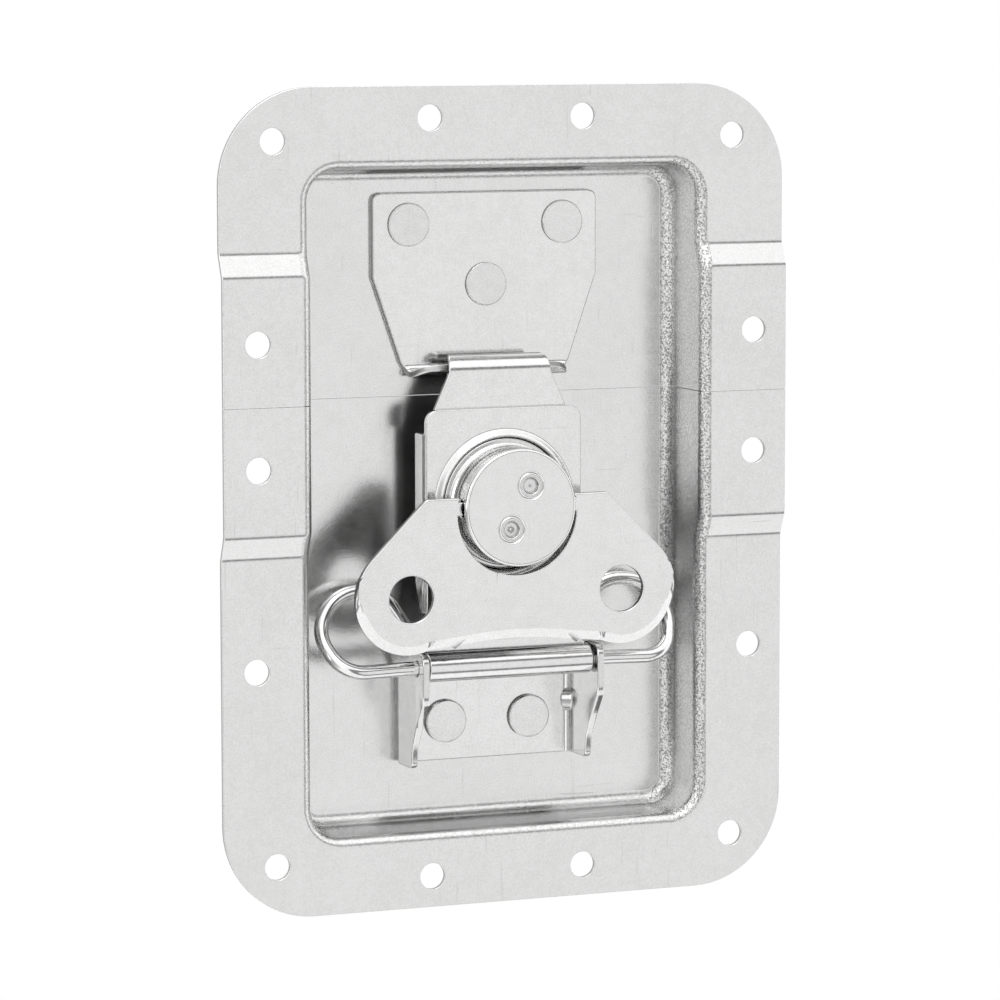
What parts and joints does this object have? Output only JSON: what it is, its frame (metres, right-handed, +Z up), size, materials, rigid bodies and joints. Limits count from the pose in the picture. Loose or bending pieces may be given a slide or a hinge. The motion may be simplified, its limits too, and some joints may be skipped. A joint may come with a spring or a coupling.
{
  "type": "butterfly case latch",
  "caption": "Recessed butterfly draw latch in a split drawn dish: a folding wing turns a cam that draws a hook over a keeper lip.",
  "frame": {"origin": "middle of the four corner rivet holes, in the back plane of the flange", "axes": "+Z up along the long side towards the keeper, -Y out of the dish towards the user, +X to the user's right"},
  "size_m": [0.1264, 0.0236, 0.172],
  "materials": {
    "zinc_drawn": "zinc plated drawn sheet, bright with a fine grain at the bends",
    "zinc_sheet": "zinc plated pressed sheet, bright",
    "zinc_wire": "zinc plated spring wire",
    "zinc_turned": "zinc plated turned steel",
    "zinc_rivet": "zinc plated rivet, satin"
  },
  "bodies": {
    "base": {"upper_dish": "zinc_drawn", "lower_dish": "zinc_drawn", "keeper_plate": "zinc_sheet", "keeper_rivet_left": "zinc_rivet", "keeper_rivet_right": "zinc_rivet", "keeper_rivet_lower": "zinc_rivet", "base_bracket": "zinc_sheet", "bracket_rivet_left": "zinc_rivet", "bracket_rivet_right": "zinc_rivet", "loop_spring": "zinc_wire"},
    "link": {"link_plate": "zinc_sheet"},
    "hook": {"hook_plate": "zinc_sheet"},
    "drum": {"cam_drum": "zinc_turned", "drum_cap": "zinc_turned", "cap_rivet_upper": "zinc_rivet", "cap_rivet_lower": "zinc_rivet", "cam_washer": "zinc_turned"},
    "wing": {"butterfly_wing": "zinc_sheet"}
  },
  "joints": [
    {"name": "link_swing", "type": "hinge", "parent": "base", "child": "link", "pos_m": [0, -0.0009, -0.0352], "axis": [1, 0, 0], "range_deg": [0, 75]},
    {"name": "cam_turn", "type": "hinge", "parent": "link", "child": "drum", "pos_m": [0, 0, -0.0015], "axis": [0, -1, 0], "range_deg": [0, 180]},
    {"name": "hook_slide", "type": "slide", "parent": "link", "child": "hook", "axis": [0, 0, 1], "range_m": [0, 0.005]},
    {"name": "wing_fold", "type": "hinge", "parent": "drum", "child": "wing", "pos_m": [0, -0.00605, -0.0015], "axis": [-1, 0, 0], "range_deg": [0, 90]}
  ],
  "couplings": [
    {"joint": "hook_slide", "follows": "cam_turn", "m_per_rad": 0.0015915}
  ]
}
